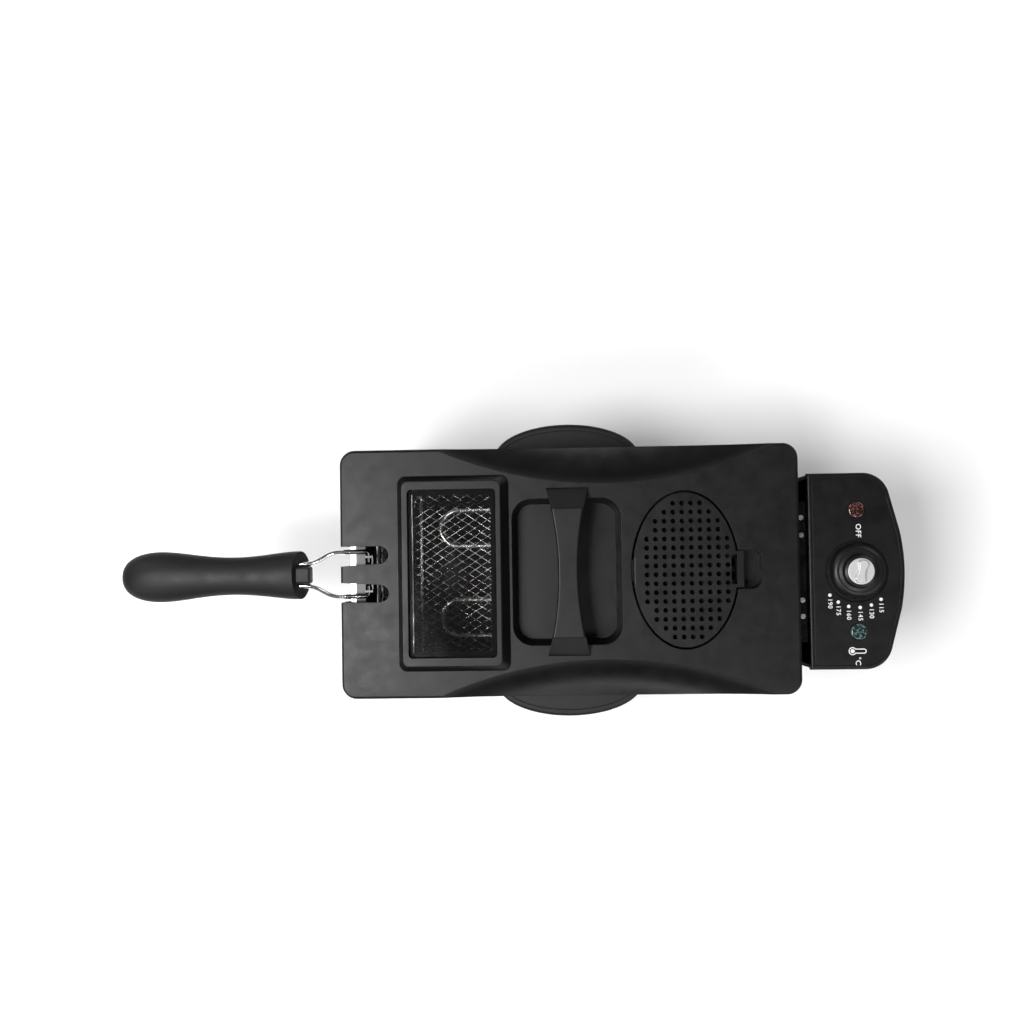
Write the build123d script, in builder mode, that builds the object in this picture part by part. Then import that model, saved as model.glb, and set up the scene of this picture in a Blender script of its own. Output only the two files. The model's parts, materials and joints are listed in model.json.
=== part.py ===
"""Deep fryer with a lift-off lid, a removable control unit, a wire basket and an oil container.

Millimetres, +Z up. The control unit hangs on the rear, at +X, and the basket's handle reaches out
over the front, at -X. The origin is on the table, midway between the tip of that handle and the
rear of the control unit. Places are given from the middle of the housing, which stands body_x
ahead of the origin, and the three planes below carry them over.
"""
import os
from math import cos, floor, radians, sin, sqrt

from build123d import *

os.makedirs("parts", exist_ok=True)

# ---- Housing --------------------------------------------------------------------------------
body_length = 330.0
body_width = 177.0
body_corner = 14.0
body_sheet = 1.0
rim_z = 182.0
rim_lip = 7.0
base_z = 9.0
base_thickness = 3.0
foot_radius = 11.0
foot_height = 8.9
foot_pitch_x = 270.0
foot_pitch_y = 124.0
foot_bore_radius = 2.2
foot_recess_z = 4.0

# ---- Carry grips ----------------------------------------------------------------------------
grip_half_length = 56.5
grip_reach = 25.5
grip_wall = 3.0
grip_low_z = 118.0
grip_high_z = 142.0

# ---- Oil container and basket ---------------------------------------------------------------
tub_length = 308.0
tub_width = 155.0
tub_corner = 16.0
tub_sheet = 1.2
tub_floor_z = 22.0
flange_width = 6.0
basket_front_x = -143.0
basket_rear_x = 112.0
basket_half_width = 68.0
basket_corner = 22.0
basket_floor_z = 80.0
basket_rim_z = 174.0
mesh_thickness = 1.2

# ---- Lid ------------------------------------------------------------------------------------
lid_length = 336.0
lid_width = 183.0
lid_corner = 11.0
lid_wall = 2.4
lid_skirt_z = 177.0
lid_top_z = 205.0
frame_top_z = 214.0
window_x = -84.95
window_length = 64.5
window_width = 122.6
window_ledge = 4.0
window_ledge_z = 206.5
well_x = -1.3
well_length = 80.0
well_width = 107.4
well_floor_z = 187.0
oval_x = 84.9
oval_half_x = 39.5
oval_half_y = 58.0
scallop_x = 27.0
scallop_centre_y = 367.5
scallop_radius = 303.0
scallop_drop = 9.0
slot_end_x = -132.5
slot_radius = 6.4
slot_outer_y = 20.6

# ---- Basket handle --------------------------------------------------------------------------
wire_radius = 1.7
wire_y = 16.6
fork_y = 8.1
hinge_x = -148.6
hinge_z = 191.0
grip_z = 196.0
grip_inner_x = -194.0
grip_face_tilt = 24.0
# Distance from the inner end, half width, half height and rise of the grip at stations along it.
grip_stations = [
    (0.0, 17.4, 11.0, 0.0),
    (9.0, 17.8, 11.0, 0.0),
    (46.5, 14.2, 9.5, 0.5),
    (94.5, 17.6, 11.5, -1.0),
    (119.5, 18.2, 12.0, -2.0),
    (133.5, 13.4, 9.0, -2.5),
    (140.0, 4.0, 3.2, -3.0),
]

# ---- Control unit ---------------------------------------------------------------------------
unit_front_x = 168.6
panel_front_x = 177.0
panel_half_width = 72.5
panel_corner_x = 233.1
corner_round = 20.0
shoulder_x = 244.6
shoulder_y = 29.0
panel_rear_x = 247.5
panel_top_z = 189.0
panel_thickness = 6.0
unit_low_z = 92.0
unit_wall = 2.4
knob_x = 212.6
unit_y = -3.0
lamp_red_y = 42.2
lamp_green_y = -47.8
lamp_radius = 6.15
reset_z = 112.0

# ---- Heating element ------------------------------------------------------------------------
tube_radius = 3.5
element_z = 62.0
leg_x = 146.0
element_front_x = -107.0
loop_outer_y = 53.5
loop_inner_y = 23.0
plate_low_z = 118.0

# ---- Values that follow from the driving dimensions -------------------------------------------
grip_length = grip_stations[-1][0]
body_x = (grip_length - grip_inner_x - panel_rear_x) / 2
lip_length = body_length - 2 * rim_lip
lip_width = body_width - 2 * rim_lip
flange_z = rim_z + 0.1
flange_top_z = flange_z + tub_sheet
cavity_top_z = lid_top_z - lid_wall
wall_x = body_length / 2
wall_y = body_width / 2
foot_places = [(x, y) for x in (-foot_pitch_x / 2, foot_pitch_x / 2)
               for y in (-foot_pitch_y / 2, foot_pitch_y / 2)]
lamp_places = [(knob_x, lamp_red_y), (knob_x, lamp_green_y)]


body_plane = Plane(origin=(body_x, 0, 0))


def level(z):
    """Level plane at height z, centred on the housing."""
    return body_plane.offset(z)


def upright(x):
    """Upright plane across the housing, facing the rear, at x from the middle of the housing."""
    return Plane.YZ.offset(body_x + x)


def lengthwise(y):
    """Upright plane along the housing, facing -Y, at y from the middle of the housing."""
    return Plane(origin=(body_x, y, 0), x_dir=(1, 0, 0), z_dir=(0, -1, 0))


def upright_axis(x, y=0.0):
    """Vertical axis at (x, y) from the middle of the housing."""
    return Axis((body_x + x, y, 0), (0, 0, 1))


def rounded_block(length, width, corner, low_z, high_z, x=0.0, mode=Mode.ADD):
    """Add or cut an upright block with rounded corners in the part that is being built."""
    with BuildSketch(level(low_z)) as outline:
        with Locations((x, 0)):
            RectangleRounded(length, width, corner)
    extrude(outline.sketch, amount=high_z - low_z, mode=mode)


def upright_cylinder(radius, low_z, high_z, places, mode=Mode.ADD):
    """Add or cut upright cylinders at each (x, y) in places."""
    with BuildSketch(level(low_z)) as outline:
        with Locations(*places):
            Circle(radius)
    extrude(outline.sketch, amount=high_z - low_z, mode=mode)


# ==== Housing ==================================================================================
with BuildPart(body_plane) as housing_shell:
    rounded_block(body_length, body_width, body_corner, base_z, rim_z)
    rounded_block(
        body_length - 2 * body_sheet, body_width - 2 * body_sheet, body_corner - body_sheet,
        base_z, rim_z - body_sheet, mode=Mode.SUBTRACT,
    )
    rounded_block(
        lip_length, lip_width, body_corner - 2, rim_z - body_sheet, rim_z, mode=Mode.SUBTRACT
    )
    fillet(housing_shell.faces().sort_by(Axis.Z)[-1].outer_wire().edges(), radius=0.9)
housing_shell.part.label = "housing_shell"
export_step(housing_shell.part, "parts/housing_shell.step")

tray_inset = body_sheet + 0.2
with BuildPart(body_plane) as base_tray:
    rounded_block(
        body_length - 2 * tray_inset, body_width - 2 * tray_inset, body_corner - tray_inset,
        base_z, base_z + base_thickness,
    )
    with BuildSketch(level(base_z)):
        with GridLocations(14, 0, 9, 1):
            SlotOverall(46, 4, rotation=90)
    extrude(amount=base_thickness, mode=Mode.SUBTRACT)
    upright_cylinder(
        foot_bore_radius, base_z, base_z + base_thickness, foot_places, mode=Mode.SUBTRACT
    )
base_tray.part.label = "base_tray"
export_step(base_tray.part, "parts/base_tray.step")

with BuildPart(body_plane) as rubber_feet:
    upright_cylinder(foot_radius, 0, foot_height, foot_places)
    chamfer(rubber_feet.edges().group_by(Axis.Z)[0], length=0.8)
    upright_cylinder(4.4, 0, foot_recess_z, foot_places, mode=Mode.SUBTRACT)
    upright_cylinder(foot_bore_radius, foot_recess_z, foot_height, foot_places, mode=Mode.SUBTRACT)
rubber_feet.part.label = "rubber_feet"
export_step(rubber_feet.part, "parts/rubber_feet.step")

screw_head_z = foot_recess_z - 0.1
screw_head_height = 1.9
with BuildPart(body_plane) as foot_screws:
    upright_cylinder(3.8, screw_head_z - screw_head_height, screw_head_z, foot_places)
    upright_cylinder(2.0, screw_head_z, base_z + base_thickness + 3, foot_places)
    with BuildSketch(level(screw_head_z - screw_head_height)):
        with Locations(*foot_places):
            Rectangle(4.4, 0.9)
            Rectangle(0.9, 4.4)
    extrude(amount=1.0, mode=Mode.SUBTRACT)
foot_screws.part.label = "foot_screws"
export_step(foot_screws.part, "parts/foot_screws.step")


def carry_grip(side):
    """Half-oval carry grip on a long side: a cup that is open underneath for the fingers."""
    with BuildPart(body_plane) as grip:
        with BuildSketch(level(grip_low_z)):
            with Locations((0, side * wall_y)):
                Ellipse(grip_half_length, grip_reach)
            with Locations((0, side * (wall_y - grip_reach / 2))):
                Rectangle(2.2 * grip_half_length, grip_reach, mode=Mode.SUBTRACT)
        extrude(amount=grip_high_z - grip_low_z)
        top_rim = grip.faces().sort_by(Axis.Z)[-1].edges().filter_by(GeomType.LINE, reverse=True)
        fillet(top_rim, radius=2.5)
        with BuildSketch(level(grip_low_z)):
            with Locations((0, side * wall_y)):
                Ellipse(grip_half_length - grip_wall - 1, grip_reach - grip_wall - 1)
            with Locations((0, side * (wall_y - grip_reach / 2 + grip_wall))):
                Rectangle(2.2 * grip_half_length, grip_reach, mode=Mode.SUBTRACT)
        extrude(amount=grip_high_z - grip_low_z - grip_wall, mode=Mode.SUBTRACT)
        with BuildSketch(level(grip_high_z - 1.0)):
            with Locations((0, side * wall_y)):
                Ellipse(grip_half_length - 5, grip_reach - 5)
            with Locations((0, side * (wall_y - grip_reach / 2 + 2))):
                Rectangle(2.2 * grip_half_length, grip_reach, mode=Mode.SUBTRACT)
        extrude(amount=2.0, mode=Mode.SUBTRACT)
    return grip.part


with BuildPart() as carry_grip_left:
    add(carry_grip(1))
carry_grip_left.part.label = "carry_grip_left"
export_step(carry_grip_left.part, "parts/carry_grip_left.step")

with BuildPart() as carry_grip_right:
    add(carry_grip(-1))
carry_grip_right.part.label = "carry_grip_right"
export_step(carry_grip_right.part, "parts/carry_grip_right.step")

with BuildPart(body_plane) as grip_screws:
    for side in (1, -1):
        with BuildSketch(lengthwise(side * (wall_y - body_sheet))):
            with Locations((-40, grip_low_z + 12), (40, grip_low_z + 12)):
                Circle(3.2)
        extrude(amount=side * 2.0)
grip_screws.part.label = "grip_screws"
export_step(grip_screws.part, "parts/grip_screws.step")

rail_y = 40.0
rail_depth = 3.0
with BuildPart(body_plane) as unit_guide_rails:
    with BuildSketch(upright(wall_x)):
        with Locations((-rail_y, 138), (rail_y, 138)):
            RectangleRounded(7, 70, 2)
    extrude(amount=rail_depth)
unit_guide_rails.part.label = "unit_guide_rails"
export_step(unit_guide_rails.part, "parts/unit_guide_rails.step")

with BuildPart(body_plane) as interlock_pin:
    with BuildSketch(upright(wall_x)):
        with Locations((0, 150)):
            RectangleRounded(9, 6, 1.5)
    extrude(amount=rail_depth)
interlock_pin.part.label = "interlock_pin"
export_step(interlock_pin.part, "parts/interlock_pin.step")

# ==== Oil container ============================================================================
mark_length = 34.0
with BuildPart(body_plane) as tub_inside:
    rounded_block(
        tub_length - 2 * tub_sheet, tub_width - 2 * tub_sheet, tub_corner - tub_sheet,
        tub_floor_z + tub_sheet, flange_top_z,
    )
    fillet(tub_inside.faces().sort_by(Axis.Z)[0].edges(), radius=8 - tub_sheet)

with BuildPart() as oil_container:
    rounded_block(tub_length, tub_width, tub_corner, tub_floor_z, flange_top_z)
    fillet(oil_container.faces().sort_by(Axis.Z)[0].edges(), radius=8)
    rounded_block(
        tub_length + 2 * flange_width, tub_width + 2 * flange_width, body_corner - 2,
        flange_z, flange_top_z,
    )
    add(tub_inside.part, mode=Mode.SUBTRACT)
    for mark_z in (104.0, 132.0):
        with Locations(level(mark_z)):
            with Locations((-60, tub_width / 2 - tub_sheet, 0)):
                Box(mark_length, 1.0, 1.6)
oil_container.part.label = "oil_container"
export_step(oil_container.part, "parts/oil_container.step")

# ==== Basket ===================================================================================
basket_length = basket_rear_x - basket_front_x
basket_x = (basket_rear_x + basket_front_x) / 2
basket_bend = 12.0
with BuildPart(body_plane) as basket_inside:
    rounded_block(
        basket_length - 2 * mesh_thickness, 2 * (basket_half_width - mesh_thickness),
        basket_corner - mesh_thickness,
        basket_floor_z + mesh_thickness, basket_rim_z, x=basket_x,
    )
    fillet(basket_inside.faces().sort_by(Axis.Z)[0].edges(), radius=basket_bend - mesh_thickness)

with BuildPart() as basket_mesh:
    rounded_block(
        basket_length, 2 * basket_half_width, basket_corner,
        basket_floor_z, basket_rim_z, x=basket_x,
    )
    fillet(basket_mesh.faces().sort_by(Axis.Z)[0].edges(), radius=basket_bend)
    add(basket_inside.part, mode=Mode.SUBTRACT)
basket_mesh.part.label = "basket_mesh"
export_step(basket_mesh.part, "parts/basket_mesh.step")


def ring_path(length, width, corner, z, x):
    """Closed wire in the shape of a rounded rectangle, at height z."""
    with BuildSketch(level(z)) as ring:
        with Locations((x, 0)):
            RectangleRounded(length, width, corner)
    return ring.sketch.face().outer_wire()


rim_wire = 2.0
with BuildPart(body_plane) as basket_rim:
    rim_loop = ring_path(
        basket_length + 2 * rim_wire + 0.2, 2 * basket_half_width + 2 * rim_wire + 0.2,
        basket_corner + rim_wire, basket_rim_z - rim_wire, basket_x,
    )
    with BuildSketch(Plane(origin=rim_loop @ 0, z_dir=rim_loop % 0)):
        Circle(rim_wire)
    sweep(path=rim_loop)
basket_rim.part.label = "basket_rim"
export_step(basket_rim.part, "parts/basket_rim.step")

support_radius = 1.5
support_y = basket_half_width + support_radius + 0.2
support_low_z = basket_floor_z - support_radius - 0.2
with BuildPart(body_plane) as basket_supports:
    for cradle_x in (-122.0, 74.0):
        with BuildLine(body_plane) as cradle:
            FilletPolyline(
                (cradle_x, -support_y, basket_rim_z - 2 * rim_wire - 0.4),
                (cradle_x, -support_y, support_low_z),
                (cradle_x, support_y, support_low_z),
                (cradle_x, support_y, basket_rim_z - 2 * rim_wire - 0.4),
                radius=basket_bend + support_radius + 0.2,
            )
        with BuildSketch(Plane(origin=cradle.line @ 0, z_dir=cradle.line % 0)):
            Circle(support_radius)
        sweep(path=cradle.line)
basket_supports.part.label = "basket_supports"
export_step(basket_supports.part, "parts/basket_supports.step")

bracket_x = basket_front_x - 2 * rim_wire - 0.6
bracket_sheet = 1.5
bracket_half = 17.0
ear_y = 12.0
ear_sheet = 1.6
ear_length = 5.8
pin_clearance = 0.05
with BuildPart(body_plane) as handle_bracket:
    with BuildSketch(upright(bracket_x - bracket_sheet)):
        with Locations((0, 156)):
            RectangleRounded(2 * bracket_half, 46, 3)
    extrude(amount=bracket_sheet)
    with BuildSketch(upright(bracket_x)):
        with GridLocations(20, 0, 2, 1):
            with Locations((0, 148)):
                Circle(3.0)
    extrude(amount=basket_front_x - bracket_x - 0.1)
    for side in (1, -1):
        with Locations((hinge_x, side * (ear_y + ear_sheet / 2), (174.4 + hinge_z + 3.4) / 2)):
            Box(ear_length, ear_sheet, hinge_z + 3.4 - 174.4)
    with Locations((hinge_x, 0, hinge_z)):
        Cylinder(wire_radius + pin_clearance, 3 * ear_y, rotation=(90, 0, 0), mode=Mode.SUBTRACT)
handle_bracket.part.label = "handle_bracket"
export_step(handle_bracket.part, "parts/handle_bracket.step")

hook_half = 26.0
with BuildPart(body_plane) as drain_hook:
    with BuildLine(body_plane) as hook_line:
        FilletPolyline(
            (basket_rear_x + 2.2, -hook_half, 140),
            (basket_rear_x + 2.2, -hook_half, 96),
            (basket_rear_x + 2.2, hook_half, 96),
            (basket_rear_x + 2.2, hook_half, 140),
            radius=7,
        )
    with BuildSketch(Plane(origin=hook_line.line @ 0, z_dir=hook_line.line % 0)):
        Circle(1.6)
    sweep(path=hook_line.line)
drain_hook.part.label = "drain_hook"
export_step(drain_hook.part, "parts/drain_hook.step")

# ==== Basket handle ============================================================================
with BuildPart(body_plane) as handle_wires:
    for side in (1, -1):
        with BuildLine(body_plane) as prong:
            FilletPolyline(
                (hinge_x, side * (ear_y - 3.2), hinge_z),
                (hinge_x, side * wire_y, hinge_z),
                (-176.0, side * wire_y, hinge_z + 1.6),
                (-190.5, side * fork_y, grip_z),
                (grip_inner_x - 26.5, side * fork_y, grip_z + 0.8),
                radius=[2.4, 20.0, 20.0],
            )
        with BuildSketch(Plane(origin=prong.line @ 0, z_dir=prong.line % 0)):
            Circle(wire_radius)
        sweep(path=prong.line)
handle_wires.part.label = "handle_wires"
export_step(handle_wires.part, "parts/handle_wires.step")

block_half = 6.3
block_end_x = -191.5
grip_face = Plane(
    origin=(body_x + grip_inner_x - 5.0, 0, grip_z),
    z_dir=(cos(radians(grip_face_tilt)), 0, sin(radians(grip_face_tilt))),
)
with BuildPart(body_plane) as handle_end_block:
    with BuildSketch(upright(grip_inner_x - 12.0)):
        with Locations((0, grip_z)):
            RectangleRounded(2 * block_half, 13, 2)
    extrude(amount=block_end_x - grip_inner_x + 12.0)
    fillet(handle_end_block.faces().sort_by(Axis.X)[-1].edges(), radius=1.5)
    split(bisect_by=grip_face.offset(0.1), keep=Keep.TOP)
handle_end_block.part.label = "handle_end_block"
export_step(handle_end_block.part, "parts/handle_end_block.step")

with BuildPart(body_plane) as handle_grip:
    for along, half_width, half_height, rise in grip_stations:
        with BuildSketch(upright(grip_inner_x - along)):
            with Locations((0, grip_z + rise)):
                Ellipse(half_width, half_height)
    loft()
    split(bisect_by=grip_face, keep=Keep.BOTTOM)
    for side in (1, -1):
        with BuildSketch(upright(grip_inner_x + 1)):
            with Locations((side * fork_y, grip_z + 0.4)):
                Circle(wire_radius + 0.5)
        extrude(amount=-29.5, mode=Mode.SUBTRACT)
handle_grip.part.label = "handle_grip"
export_step(handle_grip.part, "parts/handle_grip.step")


# ==== Control unit =============================================================================
def unit_outline(z, front_x, inset=0.0, front_taper=0.0):
    """Plan outline of the control unit: a straight front, slanted rear sides and a bulged rear.

    front_taper narrows each side ahead of the panel, down to the front wall.
    """
    with BuildSketch(level(z)) as outline:
        with BuildLine():
            Polyline(
                (shoulder_x, unit_y + shoulder_y),
                (panel_corner_x, unit_y + panel_half_width),
                (panel_front_x, unit_y + panel_half_width),
                (panel_front_x, unit_y - panel_half_width),
                (panel_corner_x, unit_y - panel_half_width),
                (shoulder_x, unit_y - shoulder_y),
            )
            ThreePointArc(
                (shoulder_x, unit_y - shoulder_y),
                (panel_rear_x, unit_y),
                (shoulder_x, unit_y + shoulder_y),
            )
        make_face()
        fillet(outline.vertices().filter_by(lambda v: abs(v.X - panel_corner_x) < 0.1),
               radius=corner_round)
        if front_x < panel_front_x:
            with BuildLine():
                Polyline(
                    (panel_front_x, unit_y - panel_half_width),
                    (panel_front_x, unit_y + panel_half_width),
                    (front_x, unit_y + panel_half_width - front_taper),
                    (front_x, unit_y - panel_half_width + front_taper),
                    (panel_front_x, unit_y - panel_half_width),
                )
            make_face()
        if inset > 0:
            offset(amount=-inset, mode=Mode.REPLACE)
    return outline.sketch


body_top_z = panel_top_z - panel_thickness
body_inset = 1.2
front_taper = 3.2
neck_half = 52.0
neck_front_x = 140.8
neck_low_z = flange_top_z + 0.4
neck_top_z = 186.6
with BuildPart(body_plane) as control_body:
    extrude(
        unit_outline(unit_low_z, unit_front_x - body_inset, body_inset, front_taper),
        amount=body_top_z - unit_low_z,
    )
    fillet(control_body.faces().sort_by(Axis.Z)[0].edges(), radius=5)
    extrude(
        unit_outline(
            unit_low_z + unit_wall, unit_front_x - body_inset, body_inset + unit_wall, front_taper
        ),
        amount=body_top_z - unit_low_z, mode=Mode.SUBTRACT,
    )
    for side in (1, -1):
        with Locations((unit_front_x, side * rail_y, 140)):
            Box(2 * unit_wall + 0.4, 8.0, 110, mode=Mode.SUBTRACT)
    with Locations((unit_front_x, 0, 146)):
        Box(2 * unit_wall + 0.4, 10.5, 70, mode=Mode.SUBTRACT)
    with BuildSketch(upright(panel_rear_x - 10)):
        with Locations((0, reset_z)):
            Circle(5.2)
    extrude(amount=12, mode=Mode.SUBTRACT)
    with Locations((222, -42, unit_low_z)):
        Cylinder(6.1, 12, mode=Mode.SUBTRACT)
control_body.part.label = "control_body"
export_step(control_body.part, "parts/control_body.step")

well_radius = 23.0
with BuildPart(body_plane) as control_panel:
    extrude(unit_outline(body_top_z + 0.1, panel_front_x), amount=panel_thickness - 0.1)
    fillet(control_panel.faces().sort_by(Axis.Z)[-1].edges(), radius=1.6)
    upright_cylinder(
        well_radius, panel_top_z - 1.6, panel_top_z, [(knob_x, unit_y)], mode=Mode.SUBTRACT
    )
    upright_cylinder(
        lamp_radius + 0.15, body_top_z, panel_top_z, lamp_places, mode=Mode.SUBTRACT
    )
    upright_cylinder(3.4, body_top_z, panel_top_z, [(knob_x, unit_y)], mode=Mode.SUBTRACT)
    extrude(
        unit_outline(panel_top_z - 0.35, panel_front_x, inset=3.0)
        - unit_outline(panel_top_z - 0.35, panel_front_x, inset=3.7),
        amount=1.0, mode=Mode.SUBTRACT,
    )
control_panel.part.label = "control_panel"
export_step(control_panel.part, "parts/control_panel.step")

with BuildPart(body_plane) as neck_cover:
    with BuildSketch(level(neck_low_z)):
        with Locations(((neck_front_x + panel_front_x - 0.2) / 2, unit_y)):
            Rectangle(panel_front_x - 0.2 - neck_front_x, 2 * neck_half)
    extrude(amount=neck_top_z - neck_low_z)
    fillet(neck_cover.edges().filter_by(Axis.Y).group_by(Axis.Z)[-1], radius=1.5)
neck_cover.part.label = "neck_cover"
export_step(neck_cover.part, "parts/neck_cover.step")

neck_screw_places = [(172.4, unit_y + y) for y in (-33.0, -21.0, 27.0, 40.0)]
with BuildPart(body_plane) as neck_screws:
    upright_cylinder(1.9, neck_top_z + 0.02, neck_top_z + 1.2, neck_screw_places)
    with BuildSketch(level(neck_top_z + 0.8)):
        with Locations(*neck_screw_places):
            Rectangle(2.6, 0.5)
    extrude(amount=1, mode=Mode.SUBTRACT)
neck_screws.part.label = "neck_screws"
export_step(neck_screws.part, "parts/neck_screws.step")

plate_half = 50.0
bulb_y = unit_y + 38.0
with BuildPart(body_plane) as element_cover:
    with Locations((leg_x, unit_y, (plate_low_z + neck_low_z) / 2)):
        Box(10.4, 2 * plate_half + 28, neck_low_z - plate_low_z - 0.4)
    fillet(element_cover.edges().filter_by(Axis.Z), radius=2.5)
    with Locations((leg_x, unit_y, (plate_low_z + neck_low_z) / 2 + 1.2)):
        Box(8.4, 2 * plate_half + 26, neck_low_z - plate_low_z - 0.4, mode=Mode.SUBTRACT)
    with Locations(
        (leg_x, unit_y + loop_outer_y, plate_low_z), (leg_x, unit_y - loop_outer_y, plate_low_z)
    ):
        Cylinder(tube_radius + 0.1, 8, mode=Mode.SUBTRACT)
    with Locations((leg_x, bulb_y, plate_low_z)):
        Cylinder(1.3, 8, mode=Mode.SUBTRACT)
element_cover.part.label = "element_cover"
export_step(element_cover.part, "parts/element_cover.step")

turn_radius = 14.8
rear_turn_radius = 20.0
rear_turn_x = 92.0
with BuildPart(body_plane) as heating_element:
    with BuildLine(body_plane) as tube_line:
        FilletPolyline(
            (leg_x, unit_y + loop_outer_y, 176),
            (leg_x, unit_y + loop_outer_y, element_z),
            (element_front_x, unit_y + loop_outer_y, element_z),
            (element_front_x, unit_y + loop_inner_y, element_z),
            (rear_turn_x, unit_y + loop_inner_y, element_z),
            (rear_turn_x, unit_y - loop_inner_y, element_z),
            (element_front_x, unit_y - loop_inner_y, element_z),
            (element_front_x, unit_y - loop_outer_y, element_z),
            (leg_x, unit_y - loop_outer_y, element_z),
            (leg_x, unit_y - loop_outer_y, 176),
            radius=[14, turn_radius, turn_radius, rear_turn_radius, rear_turn_radius,
                    turn_radius, turn_radius, 14],
        )
    with BuildSketch(Plane(origin=tube_line.line @ 0, z_dir=tube_line.line % 0)):
        Circle(tube_radius)
    sweep(path=tube_line.line)
heating_element.part.label = "heating_element"
export_step(heating_element.part, "parts/heating_element.step")

with BuildPart(body_plane) as element_straps:
    for strap_x in (-60.0, 40.0):
        with Locations((strap_x, unit_y, element_z - tube_radius - 0.65)):
            Box(9, 2 * loop_outer_y + 14, 1.2)
element_straps.part.label = "element_straps"
export_step(element_straps.part, "parts/element_straps.step")

bulb_radius = 3.0
with BuildPart(body_plane) as thermostat_bulb:
    with Locations((60, bulb_y, element_z)):
        Cylinder(bulb_radius, 88, rotation=(0, 90, 0))
    fillet(thermostat_bulb.edges(), radius=1.4)
thermostat_bulb.part.label = "thermostat_bulb"
export_step(thermostat_bulb.part, "parts/thermostat_bulb.step")

with BuildPart(body_plane) as capillary_tube:
    with BuildLine(body_plane) as capillary_line:
        FilletPolyline(
            (104.0, bulb_y, element_z),
            (leg_x, bulb_y, element_z),
            (leg_x, bulb_y, 178),
            radius=[12],
        )
    with BuildSketch(Plane(origin=capillary_line.line @ 0, z_dir=capillary_line.line % 0)):
        Circle(1.0)
    sweep(path=capillary_line.line)
capillary_tube.part.label = "capillary_tube"
export_step(capillary_tube.part, "parts/capillary_tube.step")

# ---- Inside the control unit
with BuildPart(body_plane) as thermostat_body:
    with Locations((knob_x, unit_y, 168)):
        Box(34, 40, 22)
    fillet(thermostat_body.edges().filter_by(Axis.Z), radius=3)
    upright_cylinder(6.0, 179, 181.4, [(knob_x, unit_y)])
    upright_cylinder(3.2, 165, 182, [(knob_x, unit_y)], mode=Mode.SUBTRACT)
thermostat_body.part.label = "thermostat_body"
export_step(thermostat_body.part, "parts/thermostat_body.step")

with BuildPart(body_plane) as thermal_cutout:
    with Locations((202, 0, reset_z)):
        Cylinder(10, 14, rotation=(0, 90, 0))
        Box(3, 34, 12)
thermal_cutout.part.label = "thermal_cutout"
export_step(thermal_cutout.part, "parts/thermal_cutout.step")

with BuildPart(body_plane) as interlock_switch:
    with Locations((183, 0, 150)):
        Box(12, 26, 17)
interlock_switch.part.label = "interlock_switch"
export_step(interlock_switch.part, "parts/interlock_switch.step")

with BuildPart(body_plane) as terminal_block:
    with Locations((206, -42, 120)):
        Box(24, 30, 14)
    with BuildSketch(level(122)):
        with Locations((206, -42)):
            with GridLocations(0, 9, 1, 3):
                Circle(2.6)
    extrude(amount=8, mode=Mode.SUBTRACT)
terminal_block.part.label = "terminal_block"
export_step(terminal_block.part, "parts/terminal_block.step")

with BuildPart(body_plane) as lamp_holders:
    upright_cylinder(4.5, 160, body_top_z - 3, lamp_places)
lamp_holders.part.label = "lamp_holders"
export_step(lamp_holders.part, "parts/lamp_holders.step")


def lens(y):
    """Domed lamp lens with a stem that snaps through the panel."""
    with BuildPart(body_plane) as lens_part:
        upright_cylinder(lamp_radius, body_top_z + 0.4, panel_top_z + 0.5, [(knob_x, y)])
        with Locations((knob_x, y, panel_top_z + 0.5)):
            Cylinder(lamp_radius, 1.5, align=(Align.CENTER, Align.CENTER, Align.MIN))
        fillet(lens_part.faces().sort_by(Axis.Z)[-1].edges(), radius=1.4)
    return lens_part.part


with BuildPart() as lamp_lens_red:
    add(lens(lamp_red_y))
lamp_lens_red.part.label = "lamp_lens_red"
export_step(lamp_lens_red.part, "parts/lamp_lens_red.step")

with BuildPart() as lamp_lens_green:
    add(lens(lamp_green_y))
lamp_lens_green.part.label = "lamp_lens_green"
export_step(lamp_lens_green.part, "parts/lamp_lens_green.step")

with BuildPart(body_plane) as cord_inlet:
    with Locations((222, -42, unit_low_z - 3)):
        Cylinder(9.0, 6, align=(Align.CENTER, Align.CENTER, Align.MIN))
    with Locations((222, -42, unit_low_z + 3)):
        Cylinder(5.9, 5, align=(Align.CENTER, Align.CENTER, Align.MIN))
    with Locations((222, -42, unit_low_z)):
        Cylinder(3.9, 30, mode=Mode.SUBTRACT)
    with BuildSketch(level(unit_low_z - 0.2)):
        with Locations((222, -42)):
            Circle(12)
            Circle(6.0, mode=Mode.SUBTRACT)
    extrude(amount=8, mode=Mode.SUBTRACT)
cord_inlet.part.label = "cord_inlet"
export_step(cord_inlet.part, "parts/cord_inlet.step")

with BuildPart(body_plane) as unit_screws:
    screw_places = [(190, 55), (190, -55), (228, 40)]
    upright_cylinder(3.0, unit_low_z - 1.6, unit_low_z - 0.1, screw_places)
    with BuildSketch(level(unit_low_z - 1.6)):
        with Locations(*screw_places):
            Rectangle(3.6, 0.8)
            Rectangle(0.8, 3.6)
    extrude(amount=0.8, mode=Mode.SUBTRACT)
unit_screws.part.label = "unit_screws"
export_step(unit_screws.part, "parts/unit_screws.step")

# ---- Reset button
with BuildPart(body_plane) as reset_button:
    with Locations((panel_rear_x - 1.2 - 1.4, 0, reset_z)):
        Cylinder(4.0, 4.0, rotation=(0, 90, 0))
    with Locations((227.8, 0, reset_z)):
        Cylinder(1.8, 31.5, rotation=(0, 90, 0))
    fillet(reset_button.faces().sort_by(Axis.X)[-1].edges(), radius=0.8)
reset_button.part.label = "reset_button"
export_step(reset_button.part, "parts/reset_button.step")

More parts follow.
